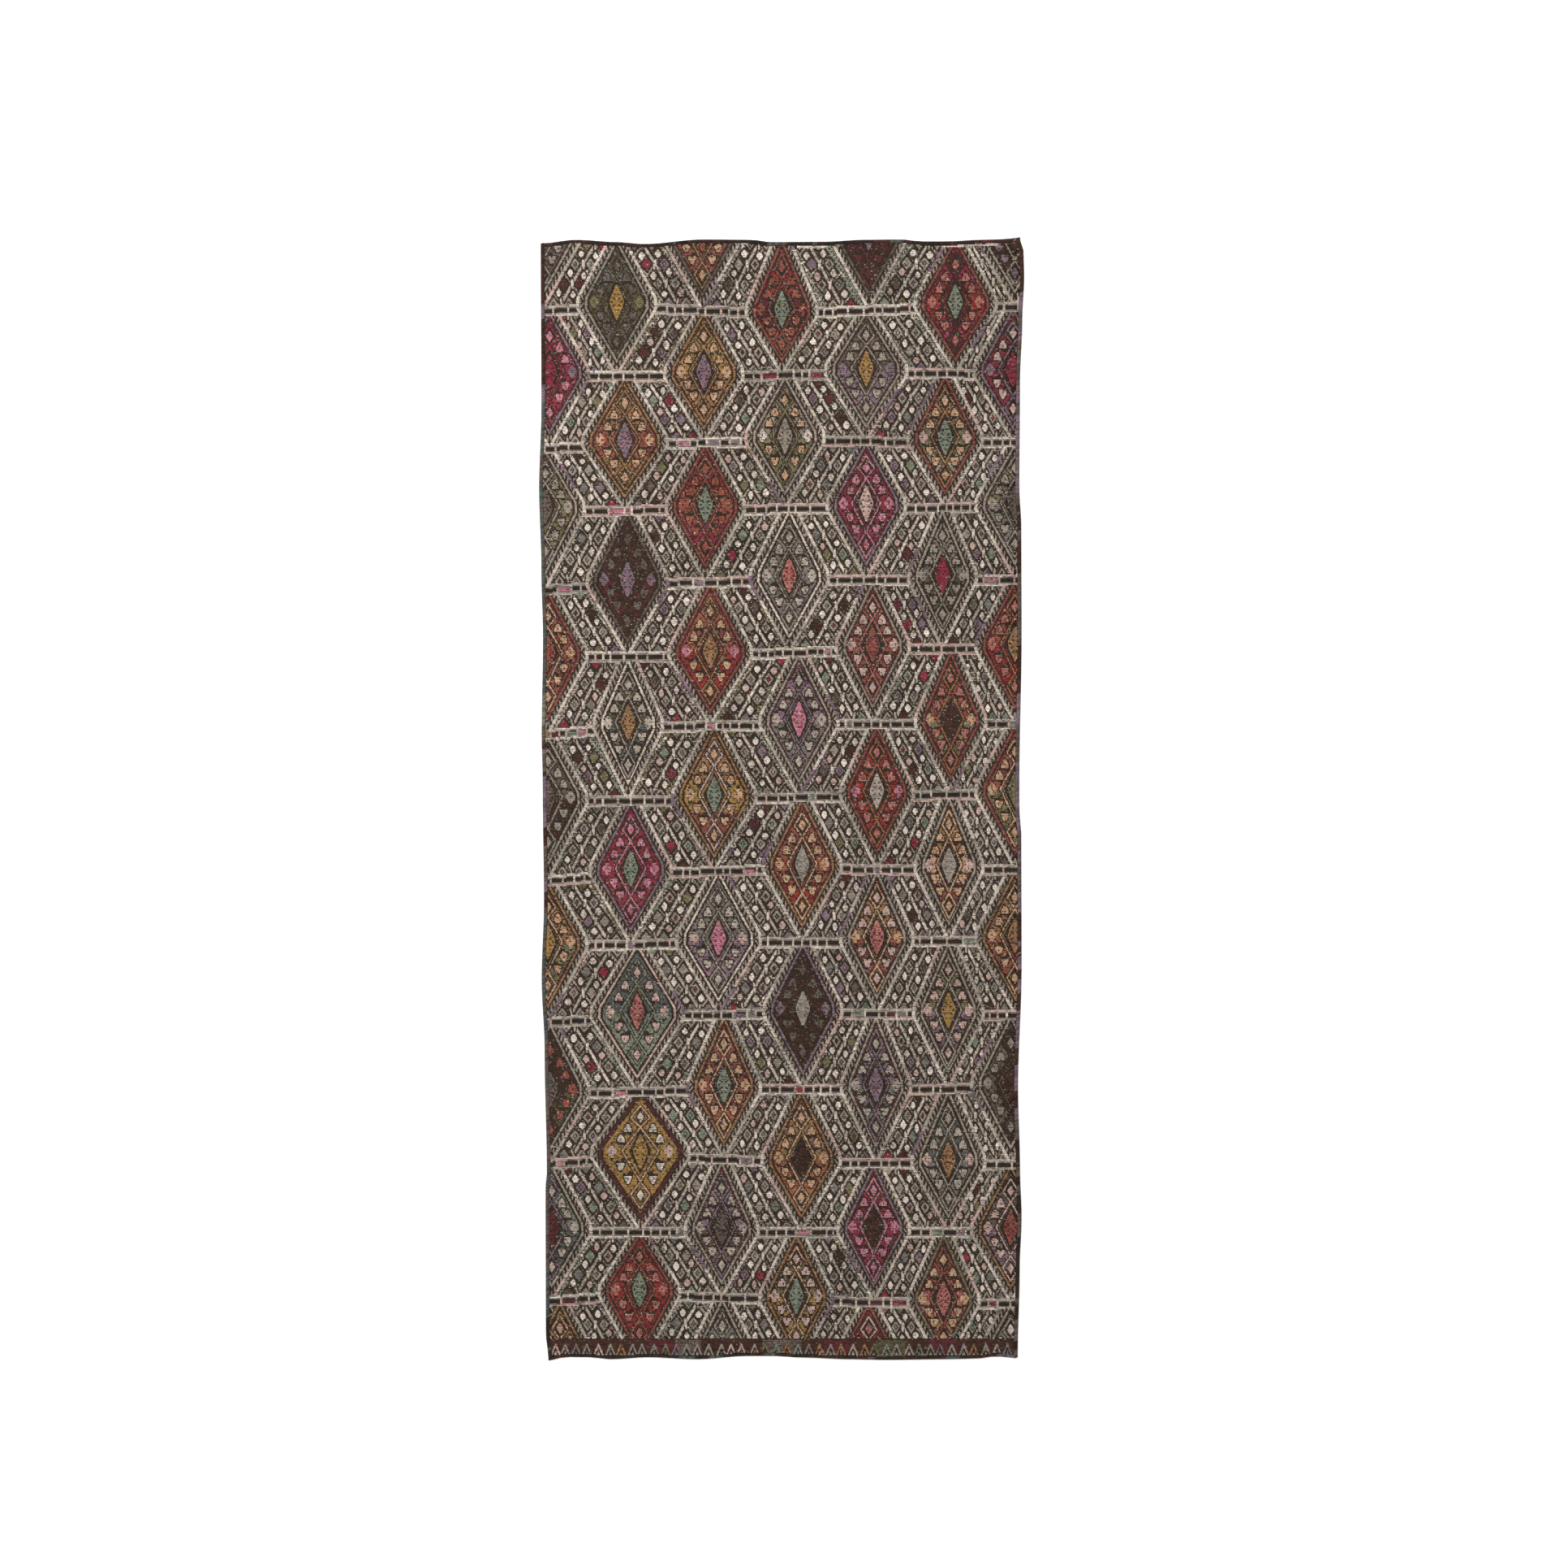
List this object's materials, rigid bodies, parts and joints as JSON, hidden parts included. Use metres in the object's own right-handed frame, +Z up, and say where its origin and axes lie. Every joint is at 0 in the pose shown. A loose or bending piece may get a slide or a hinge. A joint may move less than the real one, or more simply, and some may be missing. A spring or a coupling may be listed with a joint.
{
  "type": "kilim rug",
  "caption": "Long flat-woven wool rug with brocaded diamond medallions in offset rows, overcast side edges and overcast ends, lying flat.",
  "frame": {"origin": "on the floor, under the middle of the rug's bounding box", "axes": "+Y along the rug to its top end, +X across the rug to its right side, +Z up from the floor"},
  "size_m": [1.4938, 3.4589, 0.005],
  "materials": {
    "brocaded_wool": "matt handspun wool, dark brown ground under muted red, rust, gold, olive, grey and cream brocade",
    "side_overcast_wool": "matt wool, mauve-grey and brown, wrapped over the side edges",
    "end_overcast_wool": "matt charcoal wool, stitched over the ends"
  },
  "bodies": {
    "root": {"woven_panel": "brocaded_wool", "left_selvedge": "side_overcast_wool", "right_selvedge": "side_overcast_wool", "top_end_binding": "end_overcast_wool", "bottom_end_binding": "end_overcast_wool"}
  },
  "joints": []
}
